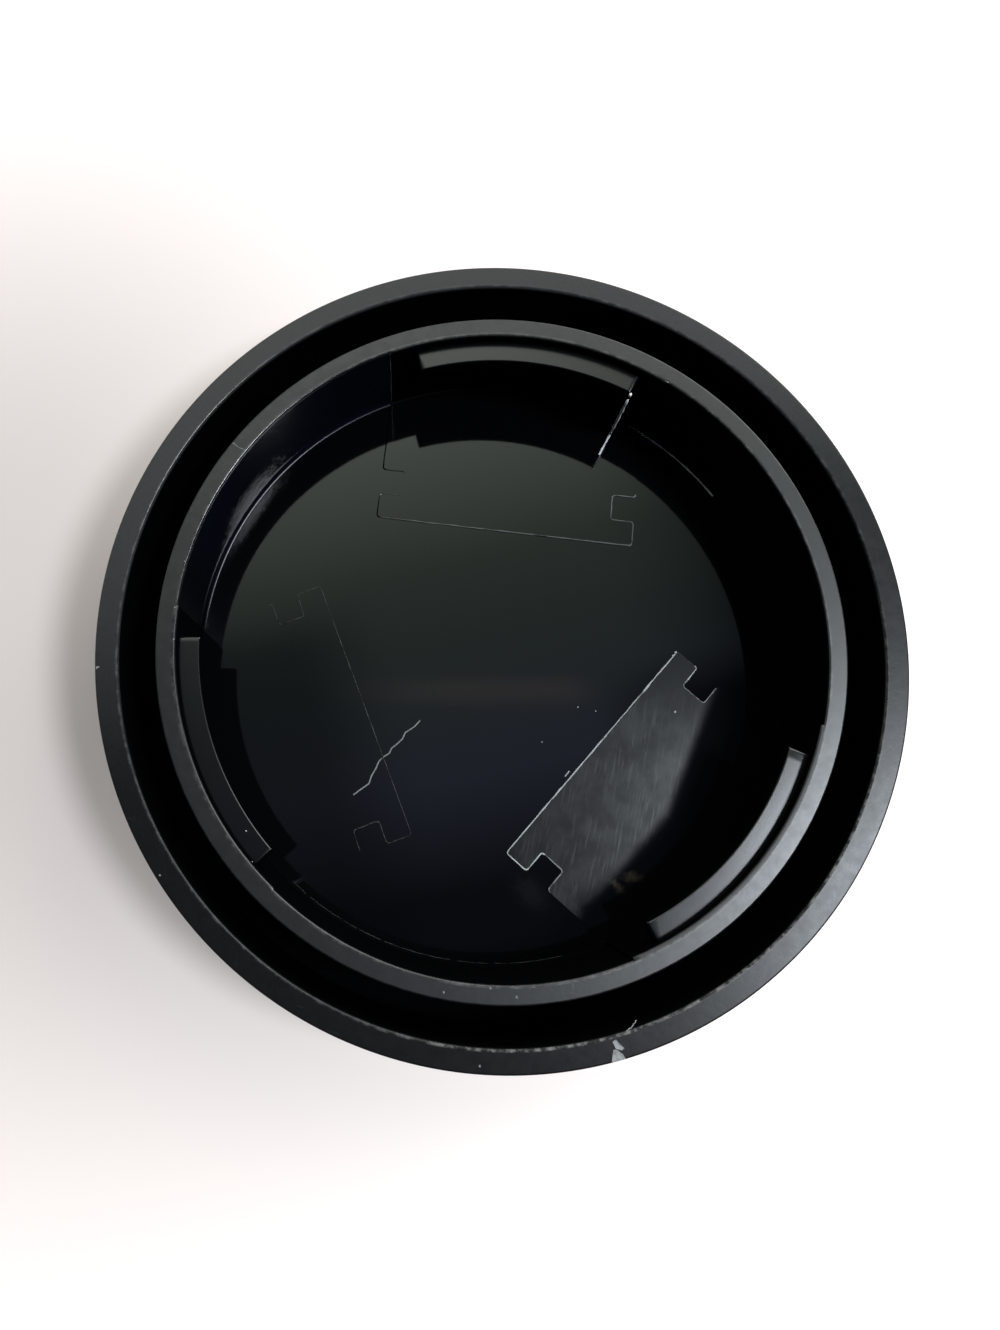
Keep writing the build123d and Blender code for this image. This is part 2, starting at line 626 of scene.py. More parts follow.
def new_group(name, **inputs):
    """Node group that takes a position and other values, with their defaults, and gives a mask."""
    group = bpy.data.node_groups.new(name, "ShaderNodeTree")
    for label, default in {"vector": (0, 0, 0), **inputs}.items():
        kind = "NodeSocketFloat" if isinstance(default, float) else "NodeSocketVector"
        socket = group.interface.new_socket(name=label.capitalize(), in_out="INPUT", socket_type=kind)
        socket.default_value = default
    group.interface.new_socket(name="Mask", in_out="OUTPUT", socket_type="NodeSocketFloat")
    entry = group.nodes.new("NodeGroupInput")
    leave = group.nodes.new("NodeGroupOutput")
    return Wiring(group), entry.outputs, leave.inputs["Mask"]


def hairline_group():
    """Fine straight scratches in one direction."""
    w, given, mask = new_group("Hairlines", turn=0.0, spacing=0.15, stretch=20.0, amount=0.5)
    parts = w.parts(w.turned(given["Vector"], given["Turn"]))
    along = w.math("DIVIDE", parts["X"], w.times(given["Spacing"], given["Stretch"]))
    across = w.math("DIVIDE", parts["Y"], given["Spacing"])
    drawn = w.add("ShaderNodeCombineXYZ", {"X": along, "Y": across, "Z": parts["Z"]}).outputs[0]
    lines = w.noise(drawn, 1.0, 3.0, 0.6)
    level = w.minus(0.78, w.times(given["Amount"], 0.3))
    w.feed(mask, w.ramp(lines, level, w.plus(level, 0.12)))


def speck_group():
    """Scattered small specks."""
    w, given, mask = new_group("Specks", spacing=3.0, size=0.1, amount=0.3)
    wavy = w.add("ShaderNodeTexNoise", {"Vector": given["Vector"], "Scale": 9.0}).outputs["Color"]
    ragged = w.vector("ADD", given["Vector"], w.scaled(wavy, 0.08))
    fineness = w.math("DIVIDE", 1.0, given["Spacing"])
    cells = w.add("ShaderNodeTexVoronoi", {"Vector": ragged, "Scale": fineness}).outputs
    chance = w.add("ShaderNodeSeparateColor", {0: cells["Color"]}).outputs
    radius = w.times(given["Size"], chance["Red"])
    present = w.math("LESS_THAN", chance["Green"], given["Amount"])
    distance = w.times(cells["Distance"], given["Spacing"])
    w.feed(mask, w.times(w.ramp(distance, w.times(radius, 0.7), radius, 1.0, 0.0), present))


def patch_group():
    """One ragged oval patch."""
    w, given, mask = new_group(
        "Worn Patch", centre=(0, 0, 0), turn=0.0, size=(1, 1, 1), ragged=0.3, softness=0.2)
    local = w.turned(w.vector("SUBTRACT", given["Vector"], given["Centre"]), given["Turn"])
    reach = w.vector("LENGTH", w.vector("DIVIDE", local, given["Size"]))
    uneven = w.minus(w.noise(given["Vector"], 2.2, 4.0, 0.65), 0.5)
    edge = w.plus(reach, w.times(uneven, w.times(given["Ragged"], 2.0)))
    w.feed(mask, w.ramp(edge, w.minus(1.0, given["Softness"]), 1.0, 1.0, 0.0))


def sector_group():
    """Soft-ended stretch round the axis."""
    w, given, mask = new_group("Sector", towards=(1, 0, 0), narrow=0.95, wide=0.8)
    heading = w.vector("NORMALIZE", w.flat(given["Vector"]))
    likeness = w.vector("DOT_PRODUCT", heading, given["Towards"])
    w.feed(mask, w.ramp(likeness, given["Wide"], given["Narrow"]))


def new_material(name):
    """Material with its shader, wiring and the object's coordinates in millimetres."""
    material = bpy.data.materials.new(name)
    material.use_nodes = True
    w = Wiring(material.node_tree)
    shader = material.node_tree.nodes["Principled BSDF"]
    place = w.scaled(w.add("ShaderNodeTexCoord").outputs["Object"], 1 / MM)
    return material, w, shader, place


# Roughness of the moulded plastic, part by part
ROUGHNESS = {
    "floor": 0.05,
    "hazy floor": 0.13,
    "wall": 0.05,
    "smeared wall": 0.235,
    "foot": 0.05,
    "lit foot": 0.26,
    "lug": 0.21,
    "outside": 0.34,
    "rim": 0.28,
    "ring": 0.325,
    "lit edge": 0.17,
    "speck": 0.8,
}

# How much each kind of wear, and the painted sheen on the skirt's rim, shows in the colour
WEAR = {"rim": 0.05, "scuffs": 0.17, "painted rim sheen": 0.34, "hairlines": 0.35, "specks": 0.5, "nicks": 0.45}

# Relief in millimetres: on smooth faces and on the rims, and of the specks
MOTTLE_RELIEF = (0.0006, 0.006)
HAIRLINE_RELIEF = (0.0003, 0.002)
SPECK_RELIEF = 0.02

# Roughness of the brushed core face: its cloudy ground, its streaks, and where these end
BRUSHED_GROUND = (0.20, 0.235)
BRUSHED = {"streaks": 0.26, "smooth end": 0.18, "under lug": 0.06, "stain": 0.6}
STAIN_SHARE = 0.22


def black_plastic(name, shine, tone, colours, sizes):
    """Moulded black plastic: glossy floor and walls, satin rims and lugs, scuffs, hairlines and dust, a
    painted sheen on the skirt's upper rim, and a painted blue cast where the tone is blue.
    """
    at = {key: value / MM for key, value in derived(sizes).items() if isinstance(value, float)}
    base = sizes.floor / MM
    rim_top = HEIGHT / MM
    material, w, shader, place = new_material(name)
    shader.inputs["Specular IOR Level"].default_value = shine
    level = w.parts(place)["Z"]
    radius = w.vector("LENGTH", w.flat(place))

    def towards(degrees, narrow, wide):
        heading = polar(1, radians(degrees), 0)
        return w.group("Sector", vector=place, towards=heading, narrow=narrow, wide=wide)

    def beside(edge):
        return w.ramp(w.apart(radius, edge + 0.15), 0.06, 0.14, 1.0, 0.0)

    # Parts of the cap
    rim = w.ramp(level, rim_top - 0.45, rim_top - 0.15)
    inside = w.ramp(radius, at["bore"] - 0.05, at["bore"] - 0.3)
    in_bore = w.ramp(radius, at["bore"] - 0.22, at["bore"] - 0.32)
    floor = w.times(in_bore, w.ramp(level, base + 0.25, base + 0.12))
    foot = w.times(w.minus(1.0, floor), w.ramp(level, base + 0.36, base + 0.26))
    lugs = w.times(inside, w.ramp(level, at["lug_bottom"] - 0.4, at["lug_bottom"]))
    ring = w.times(rim, w.ramp(radius, at["ring"] + 0.6, at["ring"] + 0.3))
    outside = w.ramp(radius, at["groove"] + 0.8, at["groove"] + 1.4)
    edges = w.times(w.most(beside(at["bore"]), beside(at["groove"])), rim)
    low_side = towards(-82, 0.93, 0.62)
    upper = towards(89, 0.6, -0.1)
    lit = towards(109, 0.88, 0.6)
    # Painted blue cast of the light, on one stretch of wall
    painted_blue_cast = towards(112, 0.92, 0.76)

    # Wear and dirt, and a painted sheen on the upper side of the skirt's rim
    mottle = w.noise(place, 1.1, 4.0, 0.65)
    hairlines = w.most(
        w.group("Hairlines", vector=place, turn=radians(35), spacing=0.10, stretch=28.0, amount=0.35),
        w.group("Hairlines", vector=place, turn=radians(-62), spacing=0.12, stretch=22.0, amount=0.30))
    dust = w.group("Specks", vector=place, spacing=2.4, size=0.10, amount=0.10)
    haze = w.group(
        "Worn Patch", vector=place, centre=(-3.9, -18.4, 1.8), turn=radians(-20), size=(2.0, 2.9, 1.0),
        ragged=0.4, softness=0.9)
    smear = w.group(
        "Worn Patch", vector=place, centre=(*SMEAR, 3.6), turn=radians(-36), size=(7.0, 2.0, 3.6),
        ragged=0.8, softness=0.9)
    broken = w.ramp(w.noise(place, 1.2, 4.0, 0.7), 0.42, 0.66)
    nicked = w.times(edges, broken, w.mix(low_side, 0.2, w.mix(ring, 1.0, 0.4)))
    scuffed = w.times(ring, w.ramp(mottle, 0.60, 0.40), w.mix(low_side, 0.45, 0.7))
    # Painted sheen: the skirt's rim is made paler on its upper side, where the light falls on it
    painted_sheen_on_rim = w.times(w.minus(rim, ring), upper)
    specks = w.most(w.times(dust, WEAR["specks"]), w.times(nicked, WEAR["nicks"]))

    # Colour
    pale = w.plus(
        w.times(rim, WEAR["rim"]), w.times(scuffed, WEAR["scuffs"]), w.times(painted_sheen_on_rim, WEAR["painted rim sheen"]),
        w.times(hairlines, rim, WEAR["hairlines"]))
    # The wall's blue tone shows only where the painted blue cast lies
    moulded = w.blend(painted_blue_cast, (*colours.plastic, 1), (*tone, 1))
    wear_and_painted_sheen = w.blend(pale, moulded, (*colours.rubbed, 1))
    w.feed(shader.inputs["Base Color"], w.blend(specks, wear_and_painted_sheen, (*colours.dust, 1)))

    # Roughness
    rough = w.mix(smear, ROUGHNESS["wall"], ROUGHNESS["smeared wall"])
    rough = w.mix(foot, rough, w.mix(lit, ROUGHNESS["foot"], ROUGHNESS["lit foot"]))
    rough = w.mix(floor, rough, w.mix(haze, ROUGHNESS["floor"], ROUGHNESS["hazy floor"]))
    lit_edges = w.times(edges, upper)
    parts = {"lug": lugs, "outside": outside, "rim": rim, "ring": ring, "lit edge": lit_edges}
    for part, mask in parts.items():
        rough = w.mix(mask, rough, ROUGHNESS[part])
    rough = w.plus(rough, w.times(w.minus(mottle, 0.5), w.mix(rim, 0.03, 0.12)))
    w.feed(shader.inputs["Roughness"], w.mix(specks, rough, ROUGHNESS["speck"]))

    # Fine relief
    height = w.times(mottle, w.mix(rim, *MOTTLE_RELIEF))
    height = w.minus(height, w.times(hairlines, w.mix(rim, *HAIRLINE_RELIEF)))
    height = w.plus(height, w.times(specks, SPECK_RELIEF))
    bump = w.add("ShaderNodeBump", {"Height": height, "Strength": 0.7, "Distance": MM})
    w.feed(shader.inputs["Normal"], bump.outputs["Normal"])
    return material


def brushed_plastic(colours, angle):
    """Core face with fine tool marks, which fade at one end and under the lug, and a small stain."""
    material, w, shader, place = new_material("brushed_black_plastic")
    streaks = w.group(
        "Hairlines", vector=place, turn=radians(-56), spacing=0.16, stretch=16.0, amount=0.8)
    stain = w.most(
        w.group(
            "Worn Patch", vector=place, centre=(2.75, -20.3, 1.86), turn=radians(70), size=(1.0, 0.5, 1.0),
            ragged=0.8, softness=0.9),
        w.group(
            "Worn Patch", vector=place, centre=(4.1, -20.1, 1.86), turn=radians(20), size=(1.1, 0.55, 1.0),
            ragged=0.8, softness=0.9))
    stain = w.times(stain, STAIN_SHARE)
    ground = w.ramp(w.noise(place, 0.5, 3.0, 0.55), 0.3, 0.7, *BRUSHED_GROUND)
    parts = w.parts(w.turned(place, -angle))
    reach = w.plus(parts["X"], w.times(w.most(parts["Y"], 0.0), 0.33))
    rough = w.mix(streaks, ground, BRUSHED["streaks"])
    rough = w.mix(w.ramp(parts["Y"], 3.0, 11.0), rough, BRUSHED["smooth end"])
    rough = w.mix(w.ramp(reach, 18.2, 19.5), rough, BRUSHED["under lug"])
    w.feed(shader.inputs["Base Color"], w.blend(stain, (*colours.plastic, 1), (*colours.stain, 1)))
    w.feed(shader.inputs["Roughness"], w.mix(stain, rough, BRUSHED["stain"]))
    return material


def whitened_plastic(name, tone):
    """Plastic that is torn, chipped or scratched pale."""
    material, w, shader, place = new_material(name)
    blotch = w.noise(place, 3.2, 4.0, 0.6)
    light = (*tone, 1)
    dark = tuple(0.55 * value for value in tone) + (1,)
    w.feed(shader.inputs["Base Color"], w.blend(w.ramp(blotch, 0.30, 0.55), dark, light))
    w.feed(shader.inputs["Roughness"], w.ramp(blotch, 0.3, 0.7, 0.55, 0.8))
    return material


def flash_plastic(name, tone, broken, shine=0.5):
    """Thin flash: its own tone where it is whole, and black where it is broken off."""
    material, w, shader, place = new_material(name)
    whole = w.ramp(w.noise(place, 0.9, 5.0, 0.7), broken - 0.08, broken + 0.08)
    dark = tuple(0.12 * value for value in tone) + (1,)
    w.feed(shader.inputs["Base Color"], w.blend(whole, dark, (*tone, 1)))
    shader.inputs["Roughness"].default_value = 0.4
    shader.inputs["Specular IOR Level"].default_value = shine
    return material


# Operators

class CAP_OT_moulding(bpy.types.Operator):
    """Model the cap's one-piece moulding, with its chips and its floor scratch"""

    bl_idname = "lens_cap.moulding"
    bl_label = "Cap Moulding"

    # Name, gloss and colour of the black plastics: as moulded, on the upright walls, on the smeared wall,
    # whose deep colour carries a painted blue cast, and on the skirt's rim
    PLASTICS = (
        ("moulded_black_plastic", 0.5, "plastic"),
        ("matte_black_plastic", 0.0, "plastic"),
        ("wall_black_plastic", 0.30, "deep"),
        ("rim_black_plastic", 0.22, "plastic"),
    )

    # A face counts as upright when its normal rises less than this: at the wall's foot, on the inner edge
    # of a lug, and elsewhere
    FOOT_RISE = 0.995
    LUG_EDGE_RISE = 0.8
    WALL_RISE = 0.5

    # Jagged scratch on the floor, and a fine one across the ring, as (x, y) in millimetres
    FLOOR_SCRATCH = [
        (-14.4, -6.3), (-13.7, -6.1), (-12.9, -5.9), (-12.5, -5.4), (-12.0, -5.0), (-11.5, -4.5),
        (-11.0, -4.3), (-10.5, -4.2), (-10.2, -3.9), (-9.6, -3.7), (-9.1, -3.5), (-8.7, -3.1),
        (-8.2, -3.0), (-7.8, -2.9), (-7.2, -2.6),
    ]
    RING_SCRATCH = [(-13.6, 21.5), (-13.3, 21.0), (-12.9, 20.6)]
    SCRATCH_RADIUS = 0.06 * MM
    FINE_RADIUS = 0.04 * MM

    # Outlines of the flat chips on the skirt's rim, as (x, y) in millimetres
    CHIPS = [
        [(-3.15, -28.5), (-2.85, -28.45), (-2.7, -28.84), (-2.5, -29.2), (-2.75, -29.25), (-3.1, -29.0)],
        [(-3.3, -29.0), (-3.05, -29.05), (-2.75, -29.5), (-2.7, -29.85), (-3.3, -29.9), (-3.7, -29.7)],
        [(-28.6, 8.65), (-28.35, 8.6), (-28.4, 8.5), (-28.7, 8.45)],
    ]
    CHIP_DEPTH = 0.07 * MM

    # Small nicks in the rims, as x, y and radius in millimetres
    NICKS = [
        (-12.19, -26.77, 0.09), (-28.75, -7.14, 0.08), (-8.17, -23.54, 0.10), (-9.64, -22.37, 0.09),
        (-12.77, -21.47, 0.09), (-21.77, 10.82, 0.08), (-19.97, 13.90, 0.08), (-22.59, 8.56, 0.07),
    ]

    def execute(self, context):
        sizes = context.scene.cap_sizes
        colours = context.scene.cap_colours
        angles = derived(sizes)["lug_angles"]
        for make in (hairline_group, speck_group, patch_group, sector_group):
            make()
        plastic, matte, wall, skirt_rim = (
            black_plastic(name, gloss, getattr(colours, tone), colours, sizes)
            for name, gloss, tone in self.PLASTICS)
        brushed = brushed_plastic(colours, angles[2])
        whitened = whitened_plastic("whitened_plastic", colours.whitened)
        scratched = whitened_plastic("scratched_plastic", colours.scratched)

        cap = turned_body(sizes)
        cap.data.materials.append(plastic)
        added = [(turn_stop(sizes, angles[0]), plastic)]
        for angle, slip, face in zip(angles, sizes.core_slips, (plastic, plastic, brushed)):
            added.append((slipped_wall(sizes, angle, slip), plastic))
            added.append((lug(sizes, angle), plastic))
            added.append((core_pad(sizes, angle), face))
        for piece, material in added:
            piece.data.materials.append(material)
            combine(cap, piece, "UNION")
        cut = grip_flutes(sizes)
        cut.data.materials.append(plastic)
        combine(cap, cut, "DIFFERENCE")
        for tool, material in self.worn_away(sizes, whitened, scratched):
            tool.data.materials.append(material)
            combine(cap, tool, "DIFFERENCE")
        self.dress(cap, sizes, plastic, (matte, wall, skirt_rim))

        shade(cap)
        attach(cap, "root")
        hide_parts(NODE)
        return {"FINISHED"}

    def dress(self, cap, sizes, plastic, others):
        """Gives the upright walls, the wall between two lugs and the skirt's rim their own plastic."""
        at = derived(sizes)
        slots = cap.data.materials
        plain = slots.find(plastic.name)
        matte, wall, skirt_rim = range(len(slots), len(slots) + 3)
        for material in others:
            slots.append(material)
        half = asin(at["pad_half_width"] / at["bore"])
        smear_start = at["lug_angles"][0] + half
        smear_end = at["lug_angles"][1] - half
        for face in cap.data.polygons:
            if face.material_index != plain:
                continue
            radius = face.center.xy.length
            level = face.center.z
            rise = face.normal.z
            in_foot = level < sizes.floor + sizes.floor_round and radius > at["bore"] - sizes.floor_round
            in_groove = at["ring"] < radius < at["groove"] and sizes.floor < level < HEIGHT - MM
            on_lug_edge = radius < at["lug"] + MM / 4
            limit = self.FOOT_RISE if in_foot else self.LUG_EDGE_RISE if on_lug_edge else self.WALL_RISE
            within = at["lug"] - MM / 10 < radius < at["groove"] + WELD
            above_floor = level > (sizes.floor if in_foot else at["pad_top"])
            if in_groove or rise < limit and within and above_floor:
                heading = atan2(face.center.y, face.center.x)
                on_wall = at["bore"] - MM / 2 < radius < at["root"]
                face.material_index = wall if on_wall and smear_start < heading < smear_end else matte
            elif rise > self.WALL_RISE and level > HEIGHT - sizes.rim_edge and radius > at["groove"]:
                face.material_index = skirt_rim

    def worn_away(self, sizes, whitened, scratched):
        """Tools that cut the scratches, the nicks and the chips, with the material that each leaves."""
        at = derived(sizes)
        pad_end = sizes.pad_length - at["bore"]

        def ground(x):
            return at["pad_top"] if x * MM < pad_end else sizes.floor

        nicks = [ball(x, y, HEIGHT / MM, radius) for x, y, radius in self.NICKS]
        tools = [(join("nicks", nicks), scratched)]
        jagged = [spot(x, y, ground(x)) for x, y in self.FLOOR_SCRATCH]
        fine = [spot(x, y, HEIGHT) for x, y in self.RING_SCRATCH]
        for line, radius in ((jagged, self.SCRATCH_RADIUS), (fine, self.FINE_RADIUS)):
            tools.append((bead("scratch", line, radius, wobble=radius / 8, seed=4, cuts=2), scratched))
        for outline in self.CHIPS:
            tool = draw_face("chip", [spot(x, y, HEIGHT - self.CHIP_DEPTH) for x, y in outline])
            bpy.ops.mesh.extrude_region_move(
                TRANSFORM_OT_translate={"value": UP * 4 * self.CHIP_DEPTH})
            close_skin()
            tools.append((tool, whitened))
        return tools


class CAP_OT_flash(bpy.types.Operator):
    """Model the moulding flash round the core pads, with painted highlights and a painted shadow line, a
    painted glint on the stop with its painted reflection, and pale lines at the wall's foot
    """

    bl_idname = "lens_cap.flash"
    bl_label = "Moulding Flash"

    # Kinds of flash, the pale ones partly a painted highlight, and of painted line: name of its colour,
    # radius in millimetres, how broken it is, and its gloss
    KINDS = {
        "b": ("whitened_flash_and_highlight", 0.06, 0.36, 0.5),
        "d": ("dull_flash", 0.05, 0.40, 0.5),
        "m": ("mild_flash", 0.065, 0.40, 0.5),
        "f": ("faint_flash", 0.035, 0.46, 0.3),
        # Painted shadow line along a pad's shaded step
        "s": ("painted_shadow_line", 0.05, 0.40, 0.0),
        # White: a painted glint on the stop with its painted reflection, and pale lines at the wall's foot
        "t": ("pale_line_and_glint", 0.11, 0.30, 0.5),
    }
    WOBBLE = 0.025 * MM
    UNEVEN = 0.8

    # Kind of flash or painted line on each side of each pad's outline, from the wall round to the wall,
    # with a dot where there is none; the tones follow how much light each side catches, and "s" is a
    # painted shadow line
    PAD_FLASH = ("sf.fsmmmdd.", ".fffffffff.", ".ddbfbbbdd.")

    # Short second line beside the third pad's long side, as (x, y) in millimetres, and the radius of that
    # line and of the one up the wall from the first pad's corner
    DOUBLED = ((2.1, -11.0), (2.65, -10.7))
    LINE_RADIUS = 0.05

    # White line up the stop's edge, a painted glint: heights in millimetres of its parts, and the reach
    # along the floor of its painted reflection
    STOP_GLINT = ((1.8, 10.2), (10.9, 11.4))
    GLINT_REFLECTION_REACH = 2.1 * MM

    # Pale lines on the floor beside the wall: their kind, start and end angles in degrees, and radius in
    # millimetres; their gap to the wall
    FOOT_LINES = (("t", 41.5, 26.0, 0.065), ("t", 26.0, 15.5, 0.065), ("f", 262.0, 207.0, 0.016))
    FOOT_GAP = 0.24 * MM
    FOOT_STEPS = 16

    # Crumbs on the floor, at the pads and on the middle lug: x, y, z and radius in millimetres
    CRUMBS = [
        (12.59, -9.34, 1.86, 0.10), (5.30, -6.16, 1.80, 0.06), (6.56, -6.98, 1.80, 0.05),
        (1.46, -7.75, 1.80, 0.05), (14.93, 9.38, 1.86, 0.06), (16.81, 8.76, 1.86, 0.07),
        (-3.49, 16.63, 1.86, 0.06), (-22.21, -6.36, 11.5, 0.06), (-22.51, -8.56, 11.5, 0.06),
        (14.62, -4.85, 1.86, 0.11), (14.30, -5.02, 1.86, 0.09),
    ]
    CRUMB_FLATNESS = 0.6

    def execute(self, context):
        sizes = context.scene.cap_sizes
        colours = context.scene.cap_colours
        at = derived(sizes)
        materials = {
            kind: flash_plastic(name, getattr(colours, name), broken, gloss)
            for kind, (name, _, broken, gloss) in self.KINDS.items()
        }
        beads = []

        def lay(points, kind, radius=None, wobble=self.WOBBLE, cuts=0):
            thick = (radius or self.KINDS[kind][1]) * MM
            piece = bead("flash", points, thick, wobble, len(beads) + 1, cuts, self.UNEVEN)
            piece.data.materials.append(materials[kind])
            beads.append(piece)

        for angle, kinds in zip(at["lug_angles"], self.PAD_FLASH):
            for side, kind in zip(pad_sides(sizes), kinds):
                if kind in materials:
                    lay([on_pad(angle, *point, at["pad_top"]) for point in side], kind)
        doubled = [spot(x, y, at["pad_top"]) for x, y in self.DOUBLED]
        lay(doubled, "b", self.LINE_RADIUS, wobble=0, cuts=4)
        corner = on_pad(at["lug_angles"][0], *pad_outline(sizes)[0], at["pad_top"])
        rise = UP * (HEIGHT - sizes.ring_edge - corner.z)
        lay([corner, corner + rise], "f", self.LINE_RADIUS, cuts=16)
        lug_end = at["lug_angles"][0] - sizes.lug_span / 2
        # Painted glint up the stop's edge, and its painted reflection along the floor
        for levels in self.STOP_GLINT:
            lay([polar(at["lug"], lug_end, level * MM) for level in levels], "t", cuts=12)
        along_floor = [at["lug"], at["lug"] - self.GLINT_REFLECTION_REACH]
        lay([polar(radius, lug_end, sizes.floor) for radius in along_floor], "t", cuts=12)
        for kind, start, end, radius in self.FOOT_LINES:
            shares = [i / self.FOOT_STEPS for i in range(self.FOOT_STEPS + 1)]
            headings = [radians(start + (end - start) * share) for share in shares]
            line = [polar(at["bore"] - self.FOOT_GAP, heading, sizes.floor) for heading in headings]
            lay(line, kind, radius, cuts=3)
        for crumb in self.CRUMBS:
            piece = ball(*crumb, flatness=self.CRUMB_FLATNESS)
            piece.data.materials.append(materials["b"])
            beads.append(piece)
        flash = join("moulding_flash", beads)
        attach(flash, "root")
        return {"FINISHED"}


class CAP_OT_burr(bpy.types.Operator):
    """Model the torn burr that hangs from the skirt's rim into the groove"""

    bl_idname = "lens_cap.burr"
    bl_label = "Rim Burr"

    # Line of the burr: radius in millimetres, angle in degrees, and depth below the rim in millimetres
    LINE = [(28.45, -94.6, 0.10), (28.30, -94.0, 0.06), (28.15, -93.1, 0.08), (27.85, -92.2, 0.12)]
    RADIUS = 0.035 * MM
    WOBBLE = 0.05 * MM

    def execute(self, context):
        line = [polar(r * MM, radians(a), HEIGHT - d * MM) for r, a, d in self.LINE]
        burr = bead("rim_burr", line, self.RADIUS, self.WOBBLE, seed=3, cuts=4)
        burr.data.materials.append(bpy.data.materials["whitened_plastic"])
        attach(burr, "root")
        return {"FINISHED"}


class CAP_OT_stage(bpy.types.Operator):
    """Set up the pale table with its painted soft shade, the studio light and the camera"""

    bl_idname = "lens_cap.stage"
    bl_label = "Stage"

    TABLE_SIZE = 4.0
    TABLE_GAP = 0.02 * MM
    TABLE_TINT = (1.0, 0.95, 0.94, 1)

    # Glow of the table, lowered in a painted soft shade at the left of the picture and full beyond it; the
    # painted shade's middle and half axes in the picture, in millimetres, and where along them it begins
    # and ends to fade
    TABLE_GLOW = (0.12, 0.72)
    PAINTED_SHADE_MIDDLE = (-42, 3, 0)
    PAINTED_SHADE_HALF = (60, 64, 1)
    PAINTED_SHADE_FADE = (0.1, 1.2)
    BACKDROP = (0.90, 0.90, 0.90, 1)

    # Lamp: direction in the picture, elevation and half angle in degrees, distance in metres, light on
    # the table, and colour
    WINDOW = {
        "direction": -12, "elevation": 63, "distance": 0.60, "half_angle": 6.5, "share": 0.70,
        "tint": (0.93, 1.0, 1.08),
    }

    # Ceiling: how far a direction leans to the top of the picture, and its light
    CEILING = [
        (-0.06, (0.03, 0.035, 0.06)),
        (0.03, (0.27, 0.31, 0.46)),
        (0.13, (0.32, 0.41, 0.39)),
        (0.21, (0.48, 0.60, 0.52)),
        (0.31, (1.25, 1.45, 1.28)),
        (0.44, (3.40, 3.60, 3.40)),
        (0.60, (1.75, 1.75, 1.70)),
    ]
    CEILING_SPAN = (-0.1, 0.7)
    CEILING_TURN = radians(12)

    # Share of the ceiling's light by how far a direction leans to the sides of the picture, as the start
    # and end of a change and the shares there: off the middle, far to the sides, in the bright corner,
    # at the left and at the lower right; some of these hold only above or below a lean to the top
    CEILING_MIDDLE = 0.05
    OFF_MIDDLE = (0.15, 0.31, 1.0, 0.2)
    FAR_SIDES = (0.36, 0.50, 0.0, 0.15)
    CORNER = (0.31, 0.42, 0.0, 1.65)
    CORNER_ABOVE = (0.12, 0.25)
    LEFT = (-0.07, 0.03, 0.42, 1.0)
    LEFT_BELOW = (0.16, 0.21)
    LOW_RIGHT = (0.17, 0.24, 1.0, 0.1)
    LOW_RIGHT_BELOW = (0.05, 0.10)

    # Warm band across the ceiling: its light, its lean to the top, its edge and its two ends
    WARM_BAND = (0.26, 0.16, 0.13)
    BAND_LEAN = 0.114
    BAND_EDGE = (0.004, 0.014, 1.0, 0.0)
    BAND_LEFT = (-0.06, 0.08)
    BAND_RIGHT = (0.15, 0.19, 1.0, 0.0)

    CAMERA_PLACE = Vector((-11.233, -10.142, 96.647)) * MM
    CAMERA_TURN = (radians(13.066), radians(0.397), radians(-20.608))
    CAMERA_LENS = 31.1
    CAMERA_SHIFT = (0.0762, -0.0792)

    def execute(self, context):
        scene = context.scene
        scene.view_settings.view_transform = "Standard"
        self.table(scene.cap_colours)
        self.world(scene)
        self.lamp("window", **self.WINDOW)
        self.camera(scene)
        return {"FINISHED"}

    def table(self, colours):
        deselect()
        bpy.ops.mesh.primitive_plane_add(size=self.TABLE_SIZE, location=(0, 0, -self.TABLE_GAP))
        table = bpy.context.object
        table.name = "table"
        material, w, shader, place = new_material("pale_table")
        shader.inputs["Base Color"].default_value = (*colours.table, 1)
        shader.inputs["Roughness"].default_value = 0.6
        shader.inputs["Emission Color"].default_value = self.TABLE_TINT
        # The glow dims in an oval at the left of the picture: a painted shade
        apart = w.vector("SUBTRACT", w.turned(place, PICTURE_TURN), self.PAINTED_SHADE_MIDDLE)
        reach = w.vector("LENGTH", w.vector("DIVIDE", apart, self.PAINTED_SHADE_HALF))
        glow = w.ramp(reach, *self.PAINTED_SHADE_FADE, *self.TABLE_GLOW)
        w.feed(shader.inputs["Emission Strength"], w.times(self.looked_at(w), glow))
        table.data.materials.append(material)

    def looked_at(self, w):
        """One for rays that look at the backdrop, straight or through a shine, and none for its light."""
        path = w.add("ShaderNodeLightPath").outputs
        return w.most(path["Is Camera Ray"], w.most(path["Is Glossy Ray"], path["Is Transmission Ray"]))

    def world(self, scene):
        world = bpy.data.worlds.new("studio")
        world.use_nodes = True
        scene.world = world
        w = Wiring(world.node_tree)
        shader = world.node_tree.nodes["Background"]
        heading = w.add("ShaderNodeTexCoord").outputs["Generated"]

        def lean(angle):
            return w.vector("DOT_PRODUCT", heading, polar(1, angle - PICTURE_TURN, 0))

        upwards = lean(pi / 2)
        up_turned = lean(pi / 2 + self.CEILING_TURN)
        right_turned = lean(self.CEILING_TURN)
        low, high = self.CEILING_SPAN
        along = w.add("ShaderNodeMapRange", {"Value": up_turned, "From Min": low, "From Max": high})
        ramp = w.add("ShaderNodeValToRGB", {"Fac": along.outputs["Result"]})
        stops = ramp.color_ramp.elements
        while len(stops) < len(self.CEILING):
            stops.new(1.0)
        for stop, (place, light) in zip(stops, self.CEILING):
            stop.position = (place - low) / (high - low)
            stop.color = (*light, 1)

